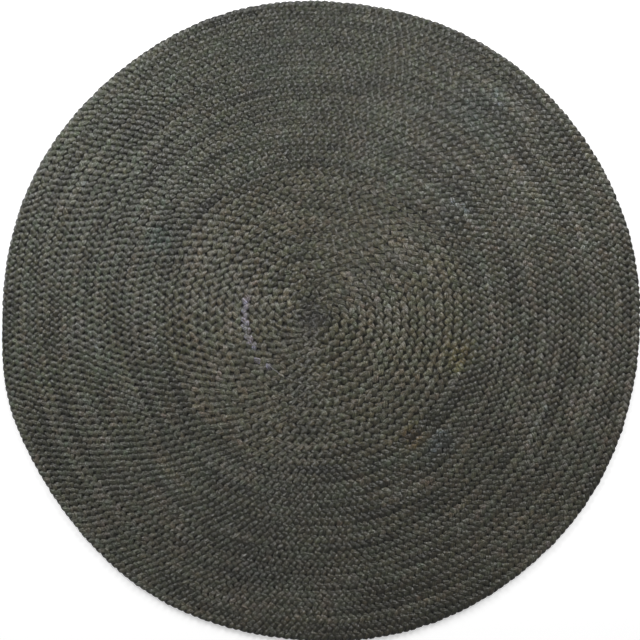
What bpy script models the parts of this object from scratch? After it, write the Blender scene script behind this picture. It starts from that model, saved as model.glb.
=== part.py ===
"""A round jute rug: one flat braid of three strands, wound into a coil and sewn to itself row by row.

Metres, +Z up. The rug lies on z = 0 with the middle of its outline over the origin.
"""

import math

import bmesh
import bpy

# The rug, lying flat
THICKNESS = 0.0100  # floor to the crown of a row
SEAM_DEPTH = 0.0034  # the groove between two rows, below the crown
RIM_HEIGHT = 0.0048  # where the outermost row is widest
RIM_UNDERCUT = 0.0030  # how far the underside stops short of that widest line

# The coil, which runs outwards clockwise as seen from above
TURNS = 38.5
ROW_AT_MIDDLE = 0.0207  # width of one row of the braid, sewn tighter towards the rim
ROW_AT_RIM = 0.01876
COIL_MIDDLE = (-0.0130, 0.0064)  # the coil's start, a little left of the outline's middle
STATIONS = 64  # points along each turn

# The braid's tail, thinned and sewn down at the rim
TAIL_DIRECTION = math.radians(178)
TAIL_TAPER = math.radians(20)
TAIL_WIDTH = 0.45  # what is left of a row's width at the very end

# How far the rim strays from a true coil: waves around it, size in metres, direction of their crest
RIM_WAVES = (
    # around, size, direction
    (1, 0.0153, math.radians(-2)),
    (2, 0.0044, math.radians(-41)),
    (3, 0.0018, math.radians(40)),
    (4, 0.0009, math.radians(-40)),
    (5, 0.0016, math.radians(28)),
    (6, 0.0009, math.radians(-6)),
    (8, 0.0016, math.radians(14)),
)

# How the rows sway inside the coil: waves around it and turns from one crest to the next outwards
ROW_SWAYS = (
    # around, turns, size, direction
    (2, 17, 0.0022, math.radians(20)),
    (3, 11, 0.0017, math.radians(75)),
    (5, 8, 0.0011, math.radians(-50)),
)

JUTE_COLOR = (0.085, 0.083, 0.067, 1.0)
JUTE_ROUGHNESS = 0.9


def smooth(x):
    """0 to 1 with level ends, for x from 0 to 1."""
    x = min(max(x, 0.0), 1.0)
    return x * x * (3 - 2 * x)


def seam_radius(turns, angle):
    """Distance from the coil's middle to the seam on the outer side of the braid, this many turns along it."""
    if turns <= 0:
        return 0.0
    out = turns / TURNS
    radius = turns * (ROW_AT_MIDDLE + (ROW_AT_RIM - ROW_AT_MIDDLE) * out / 2)
    for around, size, direction in RIM_WAVES:
        radius += size * out**2 * math.cos(around * (angle - direction))
    swing = 4 * out * (1 - out)
    for around, apart, size, direction in ROW_SWAYS:
        phase = around * (angle - direction) + 2 * math.pi * turns / apart
        radius += size * swing * math.cos(phase)
    return radius


def row_point(turns, across):
    """A point in plan on the braid: across is 0 on its inner seam, 1 on its outer one."""
    to_end = 2 * math.pi * (TURNS - turns)
    angle = TAIL_DIRECTION + to_end
    inner = seam_radius(turns - 1, angle)
    outer = seam_radius(turns, angle)
    width = TAIL_WIDTH + (1 - TAIL_WIDTH) * smooth(to_end / TAIL_TAPER)
    radius = inner + (outer - inner) * across * width
    x = COIL_MIDDLE[0] + radius * math.cos(angle)
    y = COIL_MIDDLE[1] + radius * math.sin(angle)
    return x, y


def coiled_top(bm):
    """The upper side: a strip of two faces' width, seam, crown and seam, bent round the coil."""
    steps = round(TURNS * STATIONS)
    bmesh.ops.create_grid(bm, x_segments=steps, y_segments=2, size=0.5)
    last_turn = steps - STATIONS
    for vert in bm.verts:
        step = round((vert.co.x + 0.5) * steps)
        across = round((vert.co.y + 0.5) * 2) / 2
        height = THICKNESS if across == 0.5 else THICKNESS - SEAM_DEPTH
        if across == 1 and step > last_turn:
            height = RIM_HEIGHT
        if across == 0.5 and step == 0:
            height = THICKNESS - SEAM_DEPTH
        vert.co = (*row_point(step / STATIONS, across), height)
    bmesh.ops.remove_doubles(bm, verts=bm.verts, dist=0.00005)


def rim_and_underside(bm):
    """The rim turned under, and the flat underside that lies on the floor."""
    rim = [edge for edge in bm.edges if edge.is_boundary]
    made = bmesh.ops.extrude_edge_only(bm, edges=rim)["geom"]
    lowered = [item for item in made if isinstance(item, bmesh.types.BMVert)]
    for vert in lowered:
        out = math.hypot(vert.co.x - COIL_MIDDLE[0], vert.co.y - COIL_MIDDLE[1])
        keep = (out - RIM_UNDERCUT) / out
        vert.co.x = COIL_MIDDLE[0] + (vert.co.x - COIL_MIDDLE[0]) * keep
        vert.co.y = COIL_MIDDLE[1] + (vert.co.y - COIL_MIDDLE[1]) * keep
        vert.co.z = 0.0
    bmesh.ops.contextual_create(bm, geom=[edge for edge in bm.edges if edge.is_boundary])
    bmesh.ops.recalc_face_normals(bm, faces=bm.faces)


def jute():
    material = bpy.data.materials.new("jute")
    material.use_nodes = True
    shader = material.node_tree.nodes["Principled BSDF"]
    shader.inputs["Base Color"].default_value = JUTE_COLOR
    shader.inputs["Roughness"].default_value = JUTE_ROUGHNESS
    shader.inputs["Metallic"].default_value = 0.0
    material.diffuse_color = JUTE_COLOR
    return material


def braided_coil(collection):
    bm = bmesh.new()
    coiled_top(bm)
    rim_and_underside(bm)
    mesh = bpy.data.meshes.new("braided_coil")
    bm.to_mesh(mesh)
    bm.free()
    mesh.shade_smooth()
    mesh.set_sharp_from_angle(angle=math.radians(50))
    mesh.materials.append(jute())
    coil = bpy.data.objects.new("braided_coil", mesh)
    collection.objects.link(coil)


for old in list(bpy.data.objects):
    bpy.data.objects.remove(old)

rug = bpy.data.collections.new("round_jute_rug")
bpy.context.scene.collection.children.link(rug)
braided_coil(rug)
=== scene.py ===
import math

import bmesh
import bpy
import numpy as np
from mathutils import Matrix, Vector


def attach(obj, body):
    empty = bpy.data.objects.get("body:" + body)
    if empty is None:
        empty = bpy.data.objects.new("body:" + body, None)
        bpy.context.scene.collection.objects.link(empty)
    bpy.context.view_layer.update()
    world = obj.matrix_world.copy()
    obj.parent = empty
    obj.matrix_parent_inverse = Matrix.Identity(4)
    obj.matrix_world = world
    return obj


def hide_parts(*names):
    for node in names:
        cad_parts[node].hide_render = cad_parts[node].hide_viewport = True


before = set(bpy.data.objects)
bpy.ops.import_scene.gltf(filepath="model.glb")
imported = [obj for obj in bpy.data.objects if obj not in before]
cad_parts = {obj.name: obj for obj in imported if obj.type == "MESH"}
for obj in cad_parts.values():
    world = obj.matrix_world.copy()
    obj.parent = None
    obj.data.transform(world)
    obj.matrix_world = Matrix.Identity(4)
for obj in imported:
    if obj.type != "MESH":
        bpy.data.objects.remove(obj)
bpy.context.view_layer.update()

# ---------------------------------------------------------------------------------------------
# The coil. One long flat braid is wound outwards, clockwise from above, and sewn edge to edge.
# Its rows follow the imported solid's ridges, so the coil's sizes are the solid's own.
# ---------------------------------------------------------------------------------------------
TURNS = 38.5
ROW_AT_MIDDLE = 0.0207
ROW_AT_RIM = 0.01876
COIL_MIDDLE = np.array((-0.0130, 0.0064))
MID_HEIGHT = 0.0050  # of the braid, above the floor
TAIL_DIRECTION = math.radians(178)
TAIL_TAPER = math.radians(20)
TAIL_WIDTH = 0.12  # drawn out finer than the solid's tail

RIM_WAVES = (
    # around, size, direction
    (1, 0.0153, math.radians(-2)),
    (2, 0.0044, math.radians(-41)),
    (3, 0.0018, math.radians(40)),
    (4, 0.0009, math.radians(-40)),
    (5, 0.0016, math.radians(28)),
    (6, 0.0009, math.radians(-6)),
    (8, 0.0016, math.radians(14)),
)
ROW_SWAYS = (
    # around, turns, size, direction
    (2, 17, 0.0022, math.radians(20)),
    (3, 11, 0.0017, math.radians(75)),
    (5, 8, 0.0011, math.radians(-50)),
)


def smooth(x):
    x = np.clip(x, 0.0, 1.0)
    return x * x * (3 - 2 * x)


def seam_radius(turns, angle):
    """Distance from the coil's middle to the braid's outer edge, this many turns along it."""
    turns = np.maximum(turns, 0.0)
    out = turns / TURNS
    radius = turns * (ROW_AT_MIDDLE + (ROW_AT_RIM - ROW_AT_MIDDLE) * out / 2)
    for around, size, direction in RIM_WAVES:
        radius = radius + size * out**2 * np.cos(around * (angle - direction))
    for around, apart, size, direction in ROW_SWAYS:
        phase = around * (angle - direction) + 2 * math.pi * turns / apart
        radius = radius + size * 4 * out * (1 - out) * np.cos(phase)
    return radius


def row_points(turns, across):
    """Points in plan on the braid: across is 0 on its inner edge and 1 on its outer one."""
    to_end = 2 * math.pi * (TURNS - turns)
    angle = TAIL_DIRECTION + to_end
    inner = seam_radius(turns - 1, angle)
    outer = seam_radius(turns, angle)
    width = TAIL_WIDTH + (1 - TAIL_WIDTH) * smooth(to_end / TAIL_TAPER)
    radius = inner + (outer - inner) * across * width
    outward = np.stack([np.cos(angle), np.sin(angle)], axis=-1)
    return COIL_MIDDLE + radius[..., None] * outward


# ---------------------------------------------------------------------------------------------
# The braid's route: a line down the middle of the braid with an even step. Each point knows how
# far along the braid it is, how far the braiding has gone and which way its outer edge lies.
# Sewn tight, the lobes of a row settle into the notches of the row inside it.
# ---------------------------------------------------------------------------------------------
STRANDS = 3
FIRST_BRAID = 18.0  # turns: up to here the braid is a first one, braided slacker and sewn looser
BRAID_CHANGE = 0.2  # turns from the first braid to the second
FIRST_LOBE = 0.0203  # from one crossing to the next along one edge of the braid
LOBE = 0.0167
PERIOD = STRANDS * LOBE  # of the second braid, until a strand comes back to the same edge
STEPS_PER_PERIOD = 12
ROUTE_START = 0.30  # turns
FINE = 720  # trial points a turn, from which the even step is read
NEST_GIVE = 0.03  # share by which a lobe is stretched or pushed together to nest
PACE_CHANGE = 0.035  # share by which the braider's pace strays
PACE_LENGTH = 0.35  # metres of braid from one pace to the next
PACE_SEED = 11
# How tightly the rows are drawn together, above and below the usual: waves around the rug
TIGHTNESS = (
    # around, size, direction
    (0, 0.15, 0.0),
    (1, 0.27, math.radians(36)),
    (2, 0.72, math.radians(63)),
)
FIRST_TIGHTNESS = (
    # around, size, direction
    (0, -0.40, 0.0),
    (1, 0.22, math.radians(174)),
    (2, 0.72, math.radians(63)),
)
# How full the strands are packed, which closes the gaps between lobes. In the jute's colour it
# also sets painted light and shade: lighter where least packed, darker where most.
FULLNESS = (
    # around, size, direction
    (2, 1.0, math.radians(90)),
)

trial_turns = np.linspace(ROUTE_START, TURNS, int((TURNS - ROUTE_START) * FINE))
trial_line = row_points(trial_turns, np.full_like(trial_turns, 0.5))
trial_step = np.hypot(*np.diff(trial_line, axis=0).T)
trial_along = np.concatenate([[0.0], np.cumsum(trial_step)])
BRAID_LENGTH = float(trial_along[-1])


def waves(table, angle):
    return sum(size * np.cos(around * (angle - direction)) for around, size, direction in table)


def first_braid(turns):
    """1 on the first braid and 0 on the second, with a short change between them."""
    return 1 - smooth((turns - FIRST_BRAID) / BRAID_CHANGE + 0.5)


def braided():
    """Even steps along the braid, and how far the braiding has gone there: 2 pi brings each strand back."""
    steps = int(round(BRAID_LENGTH / PERIOD * STEPS_PER_PERIOD))
    along = np.linspace(0.0, BRAID_LENGTH, steps + 1)
    turns = np.interp(along, trial_along, trial_turns)
    dice = np.random.default_rng(PACE_SEED)
    marks = np.arange(0.0, BRAID_LENGTH + PACE_LENGTH, PACE_LENGTH)
    pace = 1 + np.interp(along, marks, dice.normal(0.0, PACE_CHANGE, len(marks)))
    share = first_braid(turns)
    stride = 2 * math.pi / STEPS_PER_PERIOD * LOBE / (share * FIRST_LOBE + (1 - share) * LOBE)
    phases = np.zeros(steps + 1)
    for step in range(1, steps + 1):
        nest = 0.0
        if turns[step] > ROUTE_START + 1:
            beside = np.interp(turns[step] - 1, turns[:step], phases[:step])
            nest = NEST_GIVE * math.sin(STRANDS * (beside - phases[step - 1]))
        phases[step] = phases[step - 1] + stride[step] * (pace[step] + nest)
    return along, phases


# The route's points lie near the start, middle and end of each lobe, whatever its length.
step_along, step_phases = braided()
braid_phases = np.arange(math.pi / STEPS_PER_PERIOD, step_phases[-1], 2 * math.pi / STEPS_PER_PERIOD)
braid_along = np.interp(braid_phases, step_phases, step_along)
braid_turns = np.interp(braid_along, trial_along, trial_turns)


def placed(name, data):
    """A new object in the scene."""
    made = bpy.data.objects.new(name, data)
    bpy.context.scene.collection.objects.link(made)
    return made


def route(name, first, last):
    """The middle line of the braid from one point to another, as a mesh of edges."""
    reach = slice(first, last + 1)
    turns = braid_turns[reach]
    middle = row_points(turns, np.full_like(turns, 0.5))
    edge = row_points(turns, np.full_like(turns, 1.0))
    across = np.zeros((len(turns), 3))
    across[:, :2] = edge - middle
    angle = TAIL_DIRECTION + 2 * math.pi * (TURNS - turns)
    share = first_braid(turns)
    tightness = share * waves(FIRST_TIGHTNESS, angle) + (1 - share) * waves(TIGHTNESS, angle)
    line = bpy.data.meshes.new(name)
    points = [(x, y, MID_HEIGHT) for x, y in middle]
    line.from_pydata(points, [(i, i + 1) for i in range(len(turns) - 1)], [])
    known = {
        "along": braid_along[reach],
        "turns": turns,
        "phase": braid_phases[reach],
        "tightness": tightness,
        "packing": waves(FULLNESS, angle),
    }
    for kind, values in known.items():
        line.attributes.new(kind, "FLOAT", "POINT").data.foreach_set("value", values)
    line.attributes.new("across", "FLOAT_VECTOR", "POINT").data.foreach_set("vector", across.ravel())
    return placed(name, line)


# ---------------------------------------------------------------------------------------------
# The jute. Greenish grey fibre, dyed unevenly and faintly glossy, with streaks that run along
# each strand and wind round it, the ply streaks and nubs partly painted highlight. Painted shade
# darkens it in the gaps, down the strand sides and along loose seams.
# ---------------------------------------------------------------------------------------------
def feed(tree, socket, value):
    """A socket gets a value, or a link from another node's output."""
    if isinstance(value, bpy.types.NodeSocket):
        tree.links.new(value, socket)
    else:
        socket.default_value = value


def add(tree, kind, inputs=None, **settings):
    made = tree.nodes.new(kind)
    for name, value in settings.items():
        setattr(made, name, value)
    for name, value in (inputs or {}).items():
        feed(tree, made.inputs[name], value)
    return made


def maths(tree, operation, *values):
    made = add(tree, "ShaderNodeMath", operation=operation)
    for socket, value in zip(made.inputs, values):
        feed(tree, socket, value)
    return made.outputs[0]


def product(tree, *values):
    total = values[0]
    for value in values[1:]:
        total = maths(tree, "MULTIPLY", total, value)
    return total


def vectors(tree, operation, *values, scale=None):
    """Maths on vectors. A length, a distance and a dot product come out as a number."""
    made = add(tree, "ShaderNodeVectorMath", operation=operation)
    for socket, value in zip(made.inputs, values):
        feed(tree, socket, value)
    if scale is not None:
        feed(tree, made.inputs["Scale"], scale)
    is_number = operation in ("LENGTH", "DISTANCE", "DOT_PRODUCT")
    return made.outputs["Value" if is_number else "Vector"]


def part_of(tree, vector, axis):
    return add(tree, "ShaderNodeSeparateXYZ", {"Vector": vector}).outputs[axis]


def ranged(tree, value, low, high, to_low=0.0, to_high=1.0):
    """A value taken smoothly from one range to another, and held at both ends."""
    made = add(tree, "ShaderNodeMapRange", interpolation_type="SMOOTHSTEP")
    names = ("Value", "From Min", "From Max", "To Min", "To Max")
    for name, given in zip(names, (value, low, high, to_low, to_high)):
        feed(tree, made.inputs[name], given)
    return made.outputs["Result"]


def blend_color(tree, share, first, second, kind="MIX"):
    made = add(tree, "ShaderNodeMix", data_type="RGBA", blend_type=kind)
    feed(tree, made.inputs["Factor"], share)
    feed(tree, made.inputs[6], first)
    feed(tree, made.inputs[7], second)
    return made.outputs[2]


def tinted(tree, color, share, tint):
    return blend_color(tree, share, color, tint, "MULTIPLY")


JUTE = (0.0377, 0.0377, 0.0210, 1.0)
BLUE = (0.955, 1.00, 1.07, 1.0)
BROWN = (1.07, 0.99, 0.92, 1.0)
GREEN = (0.95, 1.03, 0.96, 1.0)
VIOLET = (1.03, 0.965, 1.04, 1.0)
FIRST_HANK = (1.27, 1.20, 1.14, 1.0)  # the first braid's jute, yellower and lighter
DRIFTING_TINTS = (
    # how often in a metre of strand, where the drift is read, where the tint starts and is full, tint
    (5.0, 0.0, 0.50, 0.68, BROWN),
    (5.0, 300.0, 0.50, 0.68, GREEN),
    (6.0, 600.0, 0.50, 0.68, BLUE),
    (8.0, 700.0, 0.52, 0.70, VIOLET),
)
PATCHY_TINTS = (
    # how fine the patches are, one tint, the other
    (38.0, GREEN, VIOLET),
    (29.0, BROWN, BLUE),
)
# The second braid is cooler towards the upper left and warmer towards the lower right.
COOL_SIDE = (0.92, 1.0, 0.93, 1.0)
WARM_SIDE = (1.07, 1.0, 1.01, 1.0)
COOL_WAY = (-0.95, 0.95, 0.0)
SIDE_FADE = 1.1
# Dye blotches, and patches lighter or darker than the jute round them: place, how far they reach,
# colour against the jute round them
BLOTCHES = (
    ((-0.019, 0.010), 0.064, (0.40, 0.40, 0.43, 1.0)),
    ((0.222, -0.272), 0.045, (1.55, 1.05, 0.65, 1.0)),
    ((0.280, -0.290), 0.050, (0.85, 0.98, 1.40, 1.0)),
    ((0.317, 0.268), 0.060, (0.98, 1.05, 1.30, 1.0)),
    ((0.375, 0.490), 0.090, (0.90, 1.00, 1.22, 1.0)),
    ((-0.375, 0.198), 0.045, (0.70, 1.05, 1.18, 1.0)),
    ((-0.120, 0.630), 0.110, (0.93, 1.00, 1.16, 1.0)),
    ((0.330, -0.080), 0.060, (1.12, 1.06, 0.62, 1.0)),
    ((-0.742, 0.036), 0.045, (0.62, 0.56, 0.54, 1.0)),
    ((-0.150, -0.565), 0.110, (0.74, 0.74, 0.78, 1.0)),
    ((-0.580, 0.400), 0.280, (1.14, 1.14, 1.14, 1.0)),
    ((0.240, -0.010), 0.190, (1.30, 1.30, 1.30, 1.0)),
)
BLOTCH_HEIGHT = 0.008
# One stretch of the braid faded pale: one strand from the first turn to the last given here, and
# all three from the middle one
FADED_TURNS = (8.36, 8.43, 8.56)
FADED_STRAND = 1.0
FADED = (2.25, 2.25, 4.4, 1.0)
FADED_REST = 0.75  # how far the stretch is faded past its palest lobes
# Painted shade in the jute's colour: along loose seams, deep in the gaps between lobes and where two strands
# touch, where shade falls
SEAM_DARK = 0.5  # share of light lost in the loosest seams
SEAM_WIDTH = 0.20  # of that darkness, in half widths of the braid
GAP_DARK = 0.20  # share of light left deep in the gaps between lobes
GAP_DEPTH = (0.0010, 0.0028)  # from the braid's middle height, up or down
SIDE_DARK = 0.12  # share of light left where two strands touch
ROW_SWING = (2.2, 3.4)  # how far rows differ in shade, in the first braid and the second
STREAKS_APART = 7.3  # from one strand's streaks to the next one's
DRIFTS_APART = 31.7


def stored(tree, name, output="Fac"):
    """A value that the strands' mesh carries. Its node is made once."""
    if name not in tree.nodes:
        add(tree, "ShaderNodeAttribute", attribute_name=name, attribute_type="GEOMETRY", name=name)
    return tree.nodes[name].outputs[output]


def clouds(tree, spot, scale, detail):
    inputs = {"Vector": spot, "Scale": scale, "Detail": detail, "Roughness": 0.6}
    return add(tree, "ShaderNodeTexNoise", inputs).outputs[0]


def streaks(tree, twist, stretch, scale, detail):
    """Streaks along a strand: its own cross-section, turned along it, and the way along."""
    along = stored(tree, "along")
    inputs = {"Vector": stored(tree, "thread", "Vector"), "Angle": maths(tree, "MULTIPLY", along, twist)}
    turned = add(tree, "ShaderNodeVectorRotate", inputs, rotation_type="Z_AXIS").outputs["Vector"]
    own = maths(tree, "MULTIPLY", stored(tree, "strand"), STREAKS_APART)
    way = maths(tree, "ADD", maths(tree, "MULTIPLY", along, stretch), own)
    inputs = {"X": part_of(tree, turned, "X"), "Y": part_of(tree, turned, "Y"), "Z": way}
    return clouds(tree, add(tree, "ShaderNodeCombineXYZ", inputs).outputs["Vector"], scale, detail)


def drifting(tree, pace, offset, detail):
    """A value that drifts along each strand, pace times in a metre, the strands apart."""
    own = maths(tree, "ADD", maths(tree, "MULTIPLY", stored(tree, "strand"), DRIFTS_APART), offset)
    way = maths(tree, "ADD", maths(tree, "MULTIPLY", stored(tree, "along"), pace), own)
    inputs = {"W": way, "Scale": 1.0, "Detail": detail}
    return add(tree, "ShaderNodeTexNoise", inputs, noise_dimensions="1D").outputs[0]


def second_braid(tree):
    half = BRAID_CHANGE / 2
    return ranged(tree, stored(tree, "turns"), FIRST_BRAID - half, FIRST_BRAID + half)


def dyed(tree, place):
    """The jute's colour, before light and dark."""
    second = second_braid(tree)
    color = tinted(tree, JUTE, maths(tree, "SUBTRACT", 1.0, second), FIRST_HANK)
    for pace, offset, low, high, tint in DRIFTING_TINTS:
        color = tinted(tree, color, ranged(tree, drifting(tree, pace, offset, 2.0), low, high), tint)
    for scale, tint, other in PATCHY_TINTS:
        patch = clouds(tree, place, scale, 2.0)
        color = tinted(tree, color, ranged(tree, patch, 0.50, 0.62), tint)
        color = tinted(tree, color, ranged(tree, patch, 0.38, 0.50, 1.0, 0.0), other)
    patchy = maths(tree, "MULTIPLY", maths(tree, "SUBTRACT", clouds(tree, place, 9.0, 3.0), 0.5), 5.0)
    side = maths(tree, "ADD", vectors(tree, "DOT_PRODUCT", place, COOL_WAY), patchy)
    cool = product(tree, ranged(tree, side, 0.0, SIDE_FADE), second)
    warm = product(tree, ranged(tree, side, -SIDE_FADE, 0.0, 1.0, 0.0), second)
    color = tinted(tree, tinted(tree, color, cool, COOL_SIDE), warm, WARM_SIDE)
    ragged = maths(tree, "SUBTRACT", drifting(tree, 20.0, 500.0, 2.0), 0.5)
    for (x, y), reach, tint in BLOTCHES:
        away = vectors(tree, "DISTANCE", place, (x, y, BLOTCH_HEIGHT))
        away = maths(tree, "ADD", away, maths(tree, "MULTIPLY", ragged, reach))
        color = tinted(tree, color, ranged(tree, away, 0.2 * reach, reach, 1.0, 0.0), tint)
    return color


def faded(tree):
    """1 on the faded stretch of the braid, less past its palest lobes, and 0 elsewhere."""
    first, middle, last = FADED_TURNS
    turns = stored(tree, "turns")
    one = maths(tree, "COMPARE", stored(tree, "strand"), FADED_STRAND, 0.1)
    which = maths(tree, "MAXIMUM", one, ranged(tree, turns, middle - 0.01, middle + 0.01))
    start = ranged(tree, turns, first - 0.01, first + 0.01)
    end = ranged(tree, turns, last - 0.04, last, 1.0, 0.0)
    rest = ranged(tree, turns, middle + 0.02, middle + 0.06, 1.0, FADED_REST)
    uneven = ranged(tree, drifting(tree, 50.0, 100.0, 2.0), 0.36, 0.56, 0.70, 1.0)
    return product(tree, which, start, end, rest, uneven)


def strand_shade(tree, place, fibres, plies_and_highlights):
    """Light and dark from the fibres, the nubs and the twisted ply streaks, and slow and quick drifts
    along it. The nubs and ply streaks are partly the fibre's own tone and partly painted highlight.
    """
    shades = []
    for pattern, low, high, dark, light in (
        (fibres, 0.30, 0.70, 0.60, 1.40),
        # Nubs: partly fibre tone, partly painted highlight where loose fibre catches the light
        (clouds(tree, place, 460.0, 0.0), 0.32, 0.68, 0.50, 1.52),
        # Ply streaks: partly fibre tone, partly painted highlight on each ply and painted shade between them
        (plies_and_highlights, 0.30, 0.70, 0.40, 1.55),
        (drifting(tree, 4.0, 800.0, 2.0), 0.25, 0.75, 0.70, 1.30),
        (drifting(tree, 45.0, 900.0, 3.0), 0.25, 0.75, 0.78, 1.22),
    ):
        shades.append(ranged(tree, pattern, low, high, dark, light))
    return product(tree, *shades)


def row_shade(tree, place):
    """Rows lighter or darker than their neighbours for a part of a turn, a lighter middle, and the rows
    either side of the change of braid, darker in broken stretches."""
    turns = stored(tree, "turns")
    start = (float(COIL_MIDDLE[0]), float(COIL_MIDDLE[1]), MID_HEIGHT)
    outward = vectors(tree, "NORMALIZE", vectors(tree, "SUBTRACT", place, start))
    row = add(tree, "ShaderNodeCombineXYZ", {"Z": turns}).outputs[0]
    row = vectors(tree, "ADD", vectors(tree, "SCALE", outward, scale=2.5), row)
    size = ranged(tree, second_braid(tree), 0.0, 1.0, *ROW_SWING)
    swing = maths(tree, "MULTIPLY", maths(tree, "SUBTRACT", clouds(tree, row, 1.0, 2.0), 0.5), size)
    swing = maths(tree, "MAXIMUM", maths(tree, "ADD", 1.0, swing), 0.4)
    middle = ranged(tree, turns, 12.0, 18.5, 1.14, 1.0)
    from_change = maths(tree, "ABSOLUTE", maths(tree, "SUBTRACT", turns, FIRST_BRAID + 0.6))
    broken = ranged(tree, clouds(tree, row, 1.3, 1.0), 0.40, 0.60)
    drawn = product(tree, ranged(tree, from_change, 0.5, 1.3, 1.0, 0.0), broken, 0.30)
    return product(tree, swing, middle, maths(tree, "SUBTRACT", 1.0, drawn))


def gap_shade(tree, place):
    """Painted shade between the lobes and down the sides of each strand, and a little painted light and
    shade by the packing: darker where the strands are packed, lighter where they are not.
    """
    packing = stored(tree, "packing")
    # Painted light and shade by the rows' direction: lighter at the left and right of the rug, darker at the
    # top and bottom
    packed = maths(tree, "SUBTRACT", 1.0, maths(tree, "MULTIPLY", packing, 0.20))
    # Painted shade deep in the gaps: the jute is darker the nearer it lies to the braid's middle height
    height = maths(tree, "SUBTRACT", part_of(tree, place, "Z"), MID_HEIGHT)
    left = maths(tree, "ADD", maths(tree, "MULTIPLY", packing, 0.05), GAP_DARK)
    gap = ranged(tree, maths(tree, "ABSOLUTE", height), *GAP_DEPTH, left, 1.0)
    # Painted shade down the sides of each strand, where it touches the next
    side_on = maths(tree, "ABSOLUTE", part_of(tree, stored(tree, "thread", "Vector"), "X"))
    return product(tree, packed, gap, ranged(tree, side_on, 0.76, 1.0, 1.0, SIDE_DARK))


def seam_shade(tree, place):
    """Painted shade along the seams: dark lines where the rows are sewn loosely."""
    across = stored(tree, "across", "Vector")
    aside = vectors(tree, "SUBTRACT", place, stored(tree, "middle", "Vector"))
    half = vectors(tree, "DOT_PRODUCT", across, across)
    aside = maths(tree, "ABSOLUTE", maths(tree, "DIVIDE", vectors(tree, "DOT_PRODUCT", aside, across), half))
    from_seam = maths(tree, "ABSOLUTE", maths(tree, "SUBTRACT", aside, 1.0))
    slack = ranged(tree, stored(tree, "tightness"), -0.9, 0.9, SEAM_DARK, 0.0)
    seam = product(tree, ranged(tree, from_seam, 0.0, SEAM_WIDTH, 1.0, 0.0), slack)
    return maths(tree, "SUBTRACT", 1.0, seam)


def jute_material():
    material = bpy.data.materials.new("braided_jute")
    material.use_nodes = True
    tree = material.node_tree
    shader = tree.nodes["Principled BSDF"]
    place = tree.nodes.new("ShaderNodeTexCoord").outputs["Object"]
    plies_and_highlights = streaks(tree, 90.0, 20.0, 1.9, 2.0)
    fibres = streaks(tree, 120.0, 24.0, 2.8, 3.0)
    color = tinted(tree, dyed(tree, place), faded(tree), FADED)
    # Light and dark in the jute's colour: its own tone, partly painted highlight in the ply streaks and nubs,
    # painted light and shade by the packing, and painted shade in the gaps, down the strand sides and along
    # loose seams
    strand = strand_shade(tree, place, fibres, plies_and_highlights)
    lightness = product(tree, strand, row_shade(tree, place), gap_shade(tree, place), seam_shade(tree, place))
    # Shaded fibre looks yellower than lit fibre.
    blue = maths(tree, "POWER", lightness, 1.3)
    shade = add(tree, "ShaderNodeCombineColor", {"Red": lightness, "Green": lightness, "Blue": blue})
    feed(tree, shader.inputs["Base Color"], blend_color(tree, 1.0, color, shade.outputs["Color"], "MULTIPLY"))
    shader.inputs["Roughness"].default_value = 0.34
    shader.inputs["Specular IOR Level"].default_value = 0.7
    shader.inputs["Sheen Weight"].default_value = 0.10
    shader.inputs["Sheen Roughness"].default_value = 0.5
    fine = add(tree, "ShaderNodeBump", {"Height": fibres, "Strength": 0.8, "Distance": 0.0010})
    inputs = {"Height": plies_and_highlights, "Strength": 1.0, "Distance": 0.0030, "Normal": fine.outputs["Normal"]}
    feed(tree, shader.inputs["Normal"], add(tree, "ShaderNodeBump", inputs).outputs["Normal"])
    return material


jute = jute_material()

# ---------------------------------------------------------------------------------------------
# The three strands. Each swings from edge to edge of the braid, passing over on its way out and
# under on its way in, and is a full oval bundle that swells at each crossing. Each is two
# lengths of jute, joined end to end.
# ---------------------------------------------------------------------------------------------
LENGTHS = 2
STRAND_SIZES = {
    "Swing": 0.785,  # how far a strand's middle swings, in half widths of the braid
    "Swing give": 0.10,  # share by which it swings further where the rows are drawn tight
    "Lead": 0.35,  # how early a strand comes up, in radians, so that it dips at the braid's edge
    "Lead give": 0.6,  # share of that lost where the rows are drawn tight
    "Half width": 0.65,  # in half widths of the braid
    "Swell": 0.06,  # share by which it is fuller where it passes over
    "Flatness": 0.38,  # thickness over width
    "Rise": 0.0020,  # how far its middle rises and dips
    "Packing": 0.06,  # share by which it is fuller or thinner with the packing
    "Unevenness": 1.0,  # 0 for a machine's even braid, 1 for a hand's
}
CROSSING_SHARPNESS = 3.5  # how quickly a strand goes from over to under
# The coil starts flat: turn where the strands begin to rise, turn where they rise fully, share of
# their rise before that
FLAT_START = (0.8, 3.0, 0.15)
# How a hand strays: how often in a metre of braid, where the noise is read, how far
STRAY_PACE = (40.0, 0.0, 0.45)
STRAY_ASIDE = (45.0, 9.0, 0.15)
STRAY_LIFT = (50.0, 19.0, 0.0006)
STRAY_FULLNESS = (55.0, 29.0, 0.26)
STRAYS_APART = 57.3  # from one strand's noise to the next one's
LOWEST = 0.0002  # the underside, pressed flat on the floor
# A strand's cross-section, packed square-shouldered, from edge to edge and round underneath
STRAND_SECTION = ((1.0, 0.0), (0.80, 0.72), (0.0, 1.0), (-0.80, 0.72), (-1.0, 0.0), (-0.5, -0.9), (0.5, -0.9))


def named(tree, name, kind="FLOAT"):
    """A value that the route carries."""
    return add(tree, "GeometryNodeInputNamedAttribute", {"Name": name}, data_type=kind).outputs["Attribute"]


def kept(tree, geometry, name, value, kind="FLOAT"):
    """The geometry with a value stored on its points."""
    inputs = {"Geometry": geometry, "Name": name, "Value": value}
    return add(tree, "GeometryNodeStoreNamedAttribute", inputs, data_type=kind, domain="POINT").outputs[0]


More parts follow.
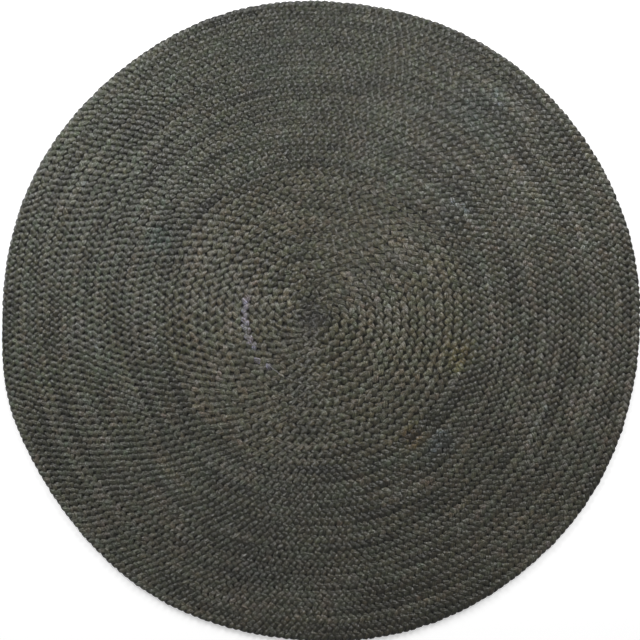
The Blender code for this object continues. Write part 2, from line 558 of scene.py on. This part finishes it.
def stray(tree, given, pace, offset, size):
    """A smooth random value from -size to size along the braid, each strand's own."""
    own = maths(tree, "ADD", maths(tree, "MULTIPLY", given["Strand"], STRAYS_APART), offset)
    at = maths(tree, "ADD", maths(tree, "MULTIPLY", named(tree, "along"), pace), own)
    noise = add(tree, "ShaderNodeTexNoise", {"W": at, "Scale": 1.0, "Detail": 1.0}, noise_dimensions="1D")
    centred = maths(tree, "SUBTRACT", noise.outputs[0], 0.5)
    return product(tree, centred, given["Unevenness"], 2 * size)


def strand_phase(tree, given):
    """How far the strand is on its way from edge to edge and back: 2 pi brings it round."""
    place = maths(tree, "MULTIPLY", given["Strand"], 2 * math.pi / STRANDS)
    phase = maths(tree, "ADD", named(tree, "phase"), place)
    return maths(tree, "ADD", phase, stray(tree, given, *STRAY_PACE))


def strand_over(tree, given, phase):
    """1 where the strand passes over and -1 where it passes under."""
    lost = maths(tree, "MULTIPLY", named(tree, "tightness"), given["Lead give"])
    lead = maths(tree, "MULTIPLY", given["Lead"], maths(tree, "SUBTRACT", 1.0, lost))
    over = maths(tree, "SINE", maths(tree, "ADD", maths(tree, "MULTIPLY", phase, 2.0), lead))
    over = maths(tree, "MULTIPLY", over, CROSSING_SHARPNESS)
    return maths(tree, "MINIMUM", maths(tree, "MAXIMUM", over, -1.0), 1.0)


def strand_shift(tree, given, phase, over):
    """Where the strand's middle lies against the middle of the braid."""
    gained = maths(tree, "MULTIPLY", named(tree, "tightness"), given["Swing give"])
    swing = maths(tree, "MULTIPLY", given["Swing"], maths(tree, "ADD", 1.0, gained))
    aside = maths(tree, "MULTIPLY", maths(tree, "SINE", phase), swing)
    aside = maths(tree, "ADD", aside, stray(tree, given, *STRAY_ASIDE))
    first, last, share = FLAT_START
    flat_start = ranged(tree, named(tree, "turns"), first, last, share, 1.0)
    lift = product(tree, over, given["Rise"], flat_start)
    lift = maths(tree, "ADD", lift, stray(tree, given, *STRAY_LIFT))
    sideways = vectors(tree, "SCALE", named(tree, "across", "FLOAT_VECTOR"), scale=aside)
    upwards = add(tree, "ShaderNodeCombineXYZ", {"Z": lift}).outputs[0]
    return vectors(tree, "ADD", sideways, upwards)


def strand_radius(tree, given, over):
    """Half the strand's width, never quite even."""
    swell = maths(tree, "MULTIPLY", maths(tree, "MAXIMUM", over, 0.0), given["Swell"])
    packed = maths(tree, "MULTIPLY", named(tree, "packing"), given["Packing"])
    fullness = maths(tree, "ADD", maths(tree, "ADD", swell, 1.0), stray(tree, given, *STRAY_FULLNESS))
    half = vectors(tree, "LENGTH", named(tree, "across", "FLOAT_VECTOR"))
    return product(tree, half, given["Half width"], maths(tree, "ADD", fullness, packed))


def strand_tube(tree, given, line):
    """The strand's cross-section drawn along its line and closed at both ends, flat underneath."""
    curve = add(tree, "GeometryNodeMeshToCurve", {"Mesh": line}).outputs[0]
    level = add(tree, "GeometryNodeSetCurveNormal", {"Curve": curve}, mode="Z_UP").outputs[0]
    position = tree.nodes.new("GeometryNodeInputPosition").outputs[0]
    section = add(tree, "GeometryNodeObjectInfo", {"Object": given["Section"]}).outputs["Geometry"]
    ring = add(tree, "GeometryNodeMeshToCurve", {"Mesh": section}).outputs[0]
    ring = kept(tree, ring, "thread", position, "FLOAT_VECTOR")
    squash = add(tree, "ShaderNodeCombineXYZ", {"X": 1.0, "Y": given["Flatness"], "Z": 1.0}).outputs[0]
    oval = add(tree, "GeometryNodeTransform", {"Geometry": ring, "Scale": squash}).outputs[0]
    inputs = {"Curve": level, "Profile Curve": oval, "Scale": named(tree, "strand_radius"), "Fill Caps": True}
    tube = add(tree, "GeometryNodeCurveToMesh", inputs).outputs[0]
    height = maths(tree, "MAXIMUM", part_of(tree, position, "Z"), LOWEST)
    inputs = {"X": part_of(tree, position, "X"), "Y": part_of(tree, position, "Y"), "Z": height}
    pressed = add(tree, "ShaderNodeCombineXYZ", inputs).outputs[0]
    return add(tree, "GeometryNodeSetPosition", {"Geometry": tube, "Position": pressed}).outputs[0]


def strand_tree():
    """Geometry nodes: a strand of the braid along a route, as a closed oval tube."""
    tree = bpy.data.node_groups.new("braid_strand", "GeometryNodeTree")
    face = tree.interface
    face.new_socket("Geometry", in_out="INPUT", socket_type="NodeSocketGeometry")
    face.new_socket("Geometry", in_out="OUTPUT", socket_type="NodeSocketGeometry")
    for name in (*STRAND_SIZES, "Strand"):
        face.new_socket(name, in_out="INPUT", socket_type="NodeSocketFloat")
    face.new_socket("Section", in_out="INPUT", socket_type="NodeSocketObject")
    face.new_socket("Jute", in_out="INPUT", socket_type="NodeSocketMaterial")
    given = tree.nodes.new("NodeGroupInput").outputs
    phase = strand_phase(tree, given)
    over = strand_over(tree, given, phase)
    position = tree.nodes.new("GeometryNodeInputPosition").outputs[0]
    line = kept(tree, given["Geometry"], "middle", position, "FLOAT_VECTOR")
    shift = strand_shift(tree, given, phase, over)
    line = add(tree, "GeometryNodeSetPosition", {"Geometry": line, "Offset": shift}).outputs[0]
    line = kept(tree, line, "strand", given["Strand"])
    line = kept(tree, line, "strand_radius", strand_radius(tree, given, over))
    tube = strand_tube(tree, given, line)
    rounded = add(tree, "GeometryNodeSetShadeSmooth", {"Geometry": tube}).outputs[0]
    plain = add(tree, "GeometryNodeRealizeInstances", {"Geometry": rounded}).outputs[0]
    dressed = add(tree, "GeometryNodeSetMaterial", {"Geometry": plain, "Material": given["Jute"]}).outputs[0]
    out = tree.nodes.new("NodeGroupOutput")
    tree.links.new(dressed, out.inputs[0])
    return tree


def grown(source, tree, values):
    """The plain mesh that a geometry node tree makes from an object, as a new object with its name."""
    modifier = source.modifiers.new(tree.name, "NODES")
    modifier.node_group = tree
    sockets = {item.name: item.identifier for item in tree.interface.items_tree if item.in_out == "INPUT"}
    for name, value in values.items():
        modifier[sockets[name]] = value
    bpy.context.view_layer.update()
    evaluated = source.evaluated_get(bpy.context.evaluated_depsgraph_get())
    mesh = bpy.data.meshes.new_from_object(evaluated)
    name = source.name
    bpy.data.objects.remove(source)
    return placed(name, mesh)


def section_line():
    """The strand's cross-section as a closed line, upside down because the tube turns it over."""
    count = len(STRAND_SECTION)
    line = bpy.data.meshes.new("strand_section")
    points = [(-across, -up, 0.0) for across, up in STRAND_SECTION]
    line.from_pydata(points, [(i, (i + 1) % count) for i in range(count)], [])
    return placed("strand_section", line)


braid_strand = strand_tree()
section = section_line()
strands = []
for length in range(LENGTHS):
    first = (len(braid_along) - 1) * length // LENGTHS
    last = (len(braid_along) - 1) * (length + 1) // LENGTHS
    for strand in range(STRANDS):
        line = route(f"strand_{strand + 1}_hank_{length + 1}", first, last)
        own = {"Strand": float(strand), "Section": section, "Jute": jute}
        strands.append(grown(line, braid_strand, {**STRAND_SIZES, **own}))
bpy.data.objects.remove(section)

# ---------------------------------------------------------------------------------------------
# A loose thread. One thin pale yarn has worked out of the faded stretch of the braid. It lies
# across the rows, with both ends caught between the lobes.
# ---------------------------------------------------------------------------------------------
THREAD_POINTS = (
    (-0.1262, -0.0975, 0.0070),
    (-0.1215, -0.1012, 0.0098),
    (-0.1120, -0.1095, 0.0104),
    (-0.1010, -0.1172, 0.0101),
    (-0.0905, -0.1262, 0.0099),
    (-0.0866, -0.1300, 0.0068),
)
THREAD_RADIUS = 0.0007
PALE_YARN = {
    "dark": (0.14, 0.14, 0.135, 1.0),
    "light": (0.34, 0.34, 0.35, 1.0),
    "roughness": 0.6,
    "speckles": {"Scale": 700.0, "Detail": 2.0},
    "bump": {"Strength": 0.4, "Distance": 0.0003},
}


def speckled(name, dark, light, roughness, speckles, bump):
    """A material mottled from one colour to another, with the same fine noise as its bump."""
    material = bpy.data.materials.new(name)
    material.use_nodes = True
    tree = material.node_tree
    shader = tree.nodes["Principled BSDF"]
    place = tree.nodes.new("ShaderNodeTexCoord").outputs["Object"]
    noise = add(tree, "ShaderNodeTexNoise", {"Vector": place, **speckles}).outputs[0]
    feed(tree, shader.inputs["Base Color"], blend_color(tree, noise, dark, light))
    shader.inputs["Roughness"].default_value = roughness
    raised = add(tree, "ShaderNodeBump", {"Height": noise, **bump})
    feed(tree, shader.inputs["Normal"], raised.outputs["Normal"])
    return material


def thread_line():
    """The thread's path as a round bevelled curve."""
    curve = bpy.data.curves.new("loose_thread", "CURVE")
    curve.dimensions = "3D"
    curve.bevel_depth = THREAD_RADIUS
    curve.bevel_resolution = 1
    curve.use_fill_caps = True
    curve.resolution_u = 4
    spline = curve.splines.new("NURBS")
    spline.points.add(len(THREAD_POINTS) - 1)
    for point, spot in zip(spline.points, THREAD_POINTS):
        point.co = (*spot, 1.0)
    spline.use_endpoint_u = True
    spline.order_u = 4
    return placed("thread_line", curve)


def loose_thread():
    drawn = thread_line()
    bpy.context.view_layer.update()
    mesh = bpy.data.meshes.new_from_object(drawn.evaluated_get(bpy.context.evaluated_depsgraph_get()))
    bpy.data.objects.remove(drawn)
    bm = bmesh.new()
    bm.from_mesh(mesh)
    bmesh.ops.remove_doubles(bm, verts=bm.verts, dist=0.00001)
    bmesh.ops.recalc_face_normals(bm, faces=bm.faces)
    bm.to_mesh(mesh)
    bm.free()
    mesh.shade_smooth()
    mesh.materials.clear()
    mesh.materials.append(speckled("pale_yarn", **PALE_YARN))
    return placed("loose_thread", mesh)


# ---------------------------------------------------------------------------------------------
# The imported middle of the rug: where strands and rows press together, the jute closes into one
# sheet, seen only as dark points between the lobes. Its near-black colour is painted shade, for the
# shadow deep in the holes.
# ---------------------------------------------------------------------------------------------
STATIONS = 64
SHEET_THICKNESS = 0.0010
SHEET_HEIGHT = 0.0030
SHEET_START = 0.0014  # the very start, gathered into one point
SHEET_REACH = 0.99  # the sheet stops just short of the outermost row's edge
# Painted shade: the sheet is coloured far darker than the strands, as the shadow deep in the holes
PACKED_JUTE_SHADE = {
    "dark": (0.010, 0.010, 0.007, 1.0),
    "light": (0.026, 0.025, 0.019, 1.0),
    "roughness": 0.95,
    "speckles": {"Scale": 900.0, "Detail": 3.0},
    "bump": {"Strength": 0.5, "Distance": 0.0006},
}


def packed_sheet():
    steps = round(TURNS * STATIONS)
    last_turn = steps - STATIONS
    bm = bmesh.new()
    bmesh.ops.create_grid(bm, x_segments=steps, y_segments=2, size=0.5)
    for vert in bm.verts:
        step = round((vert.co.x + 0.5) * steps)
        across = round((vert.co.y + 0.5) * 2) / 2
        if step > last_turn:
            across *= SHEET_REACH
        spot = row_points(np.array(step / STATIONS), np.array(across))
        if math.dist(spot, COIL_MIDDLE) < SHEET_START:
            spot = COIL_MIDDLE
        vert.co = (*spot, SHEET_HEIGHT)
    bmesh.ops.remove_doubles(bm, verts=bm.verts, dist=0.00002)
    bmesh.ops.recalc_face_normals(bm, faces=bm.faces)
    mesh = bpy.data.meshes.new("packed_sheet")
    bm.to_mesh(mesh)
    bm.free()
    mesh.materials.append(speckled("packed_jute", **PACKED_JUTE_SHADE))
    made = placed("packed_sheet", mesh)
    solid = made.modifiers.new("thickness", "SOLIDIFY")
    solid.thickness = SHEET_THICKNESS
    solid.offset = 0.0
    return made


# ---------------------------------------------------------------------------------------------
# The pieces, attached to the root body, with the imported coil hidden. All of them are jute, and
# together they stand for the imported coil.
# ---------------------------------------------------------------------------------------------
RUG_ACROSS = 1.5

packed = packed_sheet()
thread = loose_thread()
for piece in (*strands, packed, thread):
    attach(piece, "root")
    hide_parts("braided_coil")

# ---------------------------------------------------------------------------------------------
# Floor, light and camera. The floor is white, two soft lamps stand at the photograph's upper left
# and upper right, and the camera looks straight down with the photograph's top towards +Y.
# ---------------------------------------------------------------------------------------------
FLOOR_SIZE = 14.0
FLOOR_DROP = 0.0004  # under the rug, so that the two don't coincide
FLOOR_COLOR = (0.86, 0.86, 0.86, 1.0)
FLOOR_GLOW = 0.38
DAYLIGHT = 0.30
LAMP_SIZE = 1.2
LAMP_AIM = Vector((0.0, 0.1, 0.0))
LAMPS = (
    # name, place, power
    ("left", (-1.85, 1.80, 1.5), 64.0),
    ("right", (1.85, 1.80, 1.5), 58.0),
)
PIXELS = 640
RUG_PIXELS = 639.7  # the rug's width in the photograph
RUG_MIDDLE = (0.0011, 0.0029)  # what the camera stands over
RUG_CROWN = 0.008
LENS = 100.0
SENSOR = 36.0

bpy.ops.mesh.primitive_plane_add(size=FLOOR_SIZE, location=(0, 0, -FLOOR_DROP))
floor = bpy.context.object
floor.name = "floor"
floor_material = bpy.data.materials.new("pale_floor")
floor_material.use_nodes = True
floor_shader = floor_material.node_tree.nodes["Principled BSDF"]
floor_shader.inputs["Base Color"].default_value = FLOOR_COLOR
floor_shader.inputs["Roughness"].default_value = 0.8
floor_shader.inputs["Emission Color"].default_value = (1.0, 1.0, 1.0, 1.0)
floor_shader.inputs["Emission Strength"].default_value = FLOOR_GLOW
floor.data.materials.append(floor_material)

world = bpy.data.worlds.new("studio")
bpy.context.scene.world = world
world.use_nodes = True
world.node_tree.nodes["Background"].inputs["Color"].default_value = (1.0, 1.0, 1.0, 1.0)
world.node_tree.nodes["Background"].inputs["Strength"].default_value = DAYLIGHT

for name, place, power in LAMPS:
    softbox = bpy.data.lights.new(name, "AREA")
    softbox.shape = "RECTANGLE"
    softbox.size = LAMP_SIZE
    softbox.size_y = LAMP_SIZE
    softbox.energy = power
    lamp = placed(name, softbox)
    lamp.location = place
    lamp.rotation_euler = (LAMP_AIM - Vector(place)).to_track_quat("-Z", "Y").to_euler()

camera_data = bpy.data.cameras.new("camera")
camera_data.lens = LENS
camera_data.sensor_width = SENSOR
camera = placed("camera", camera_data)
frame_width = PIXELS * RUG_ACROSS / RUG_PIXELS
camera.location = (*RUG_MIDDLE, RUG_CROWN + frame_width * LENS / SENSOR)
bpy.context.scene.camera = camera
bpy.context.scene.view_settings.view_transform = "Standard"
